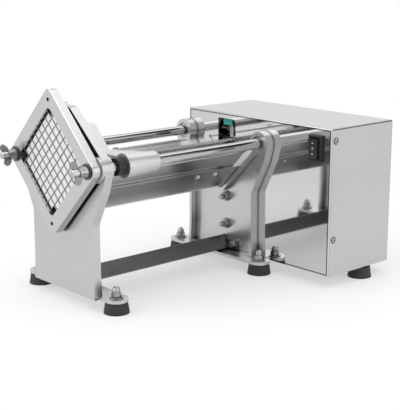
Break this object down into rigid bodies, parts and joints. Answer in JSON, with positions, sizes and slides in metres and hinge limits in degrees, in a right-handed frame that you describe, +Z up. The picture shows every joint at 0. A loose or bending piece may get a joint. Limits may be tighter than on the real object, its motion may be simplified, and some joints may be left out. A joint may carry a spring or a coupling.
{
  "type": "electric french fry cutter",
  "caption": "Electric french fry cutter: a motor drives a rack that pushes a peg head along a V trough through a square grid of crossed blades.",
  "frame": {"origin": "on the floor, in the middle of the outline seen from above, feet included", "axes": "-Y towards the blades, +Y towards the motor housing, +X towards the side with the switch, +Z up"},
  "size_m": [0.2619, 0.39, 0.237],
  "materials": {
    "cast_metal": "satin",
    "brushed_steel": "brushed",
    "polished_steel": "polished",
    "ground_steel": "ground",
    "dark_steel": "dull",
    "blade_steel": "bright",
    "zinc_steel": "satin",
    "black_rubber": "matt",
    "black_plastic": "satin",
    "white_plastic": "satin",
    "board": "satin",
    "motor_paint": "satin",
    "bracket_paint": "satin",
    "bearing_steel": "ground",
    "gear_steel": "ground"
  },
  "bodies": {
    "machine": {"acorn_nuts": "zinc_steel", "base_pan": "brushed_steel", "board_strut": "zinc_steel", "capacitor": "black_plastic", "control_board": "board", "cradle_screws": "zinc_steel", "drive_bracket": "bracket_paint", "foot_bolts": "zinc_steel", "foot_spacers": "zinc_steel", "foot_washers": "zinc_steel", "frame_bolts": "zinc_steel", "front_casting": "cast_metal", "front_panel": "polished_steel", "gearbox": "bracket_paint", "guide_board": "board", "guide_rods": "ground_steel", "housing_shell": "brushed_steel", "lip_stop": "black_plastic", "middle_frame": "cast_metal", "motor": "motor_paint", "motor_saddle": "bracket_paint", "power_inlet": "black_plastic", "rack_grommet": "black_plastic", "rack_guide": "white_plastic", "rear_cover": "brushed_steel", "rear_foot_nuts": "zinc_steel", "rubber_feet": "black_rubber", "shaft_bearings": "bearing_steel", "shell_screws": "zinc_steel", "switch_body": "black_plastic", "tie_bar": "dark_steel", "tie_bolt": "zinc_steel", "trough": "brushed_steel", "trough_cradle": "brushed_steel"},
    "holder": {"blade_holder": "brushed_steel", "blade_frame": "dark_steel", "rising_blades": "blade_steel", "falling_blades": "blade_steel", "holder_washers": "dark_steel"},
    "far_nut": {"wing_nut_far": "zinc_steel"},
    "near_nut": {"wing_nut_near": "zinc_steel"},
    "ram": {"ram_head": "cast_metal", "ram_pegs": "white_plastic", "ram_bushes": "black_plastic", "rack": "gear_steel"},
    "drive": {"pinion": "gear_steel", "output_shaft": "gear_steel"},
    "rocker": {"switch_rocker": "black_plastic"}
  },
  "joints": [
    {"name": "holder_off", "type": "slide", "parent": "machine", "child": "holder", "axis": [0, -1, 0], "range_m": [0, 0.03]},
    {"name": "far_nut_turn", "type": "hinge", "parent": "holder", "child": "far_nut", "pos_m": [-0.1103, -0.18, 0.158], "axis": [0, -1, 0], "continuous": true},
    {"name": "near_nut_turn", "type": "hinge", "parent": "holder", "child": "near_nut", "pos_m": [0.0249, -0.18, 0.158], "axis": [0, -1, 0], "continuous": true},
    {"name": "ram_travel", "type": "slide", "parent": "machine", "child": "ram", "axis": [0, 1, 0], "range_m": [0, 0.14]},
    {"name": "pinion_spin", "type": "hinge", "parent": "machine", "child": "drive", "pos_m": [-0.0427, 0.1055, 0.1635], "axis": [1, 0, 0], "range_deg": [-10, 680]},
    {"name": "rocker_tilt", "type": "hinge", "parent": "machine", "child": "rocker", "pos_m": [0.1057, 0.0845, 0.1625], "axis": [1, 0, 0], "range_deg": [-12, 12]}
  ],
  "couplings": [
    {"joint": "pinion_spin", "follows": "ram_travel", "rad_per_m": 83.333}
  ]
}
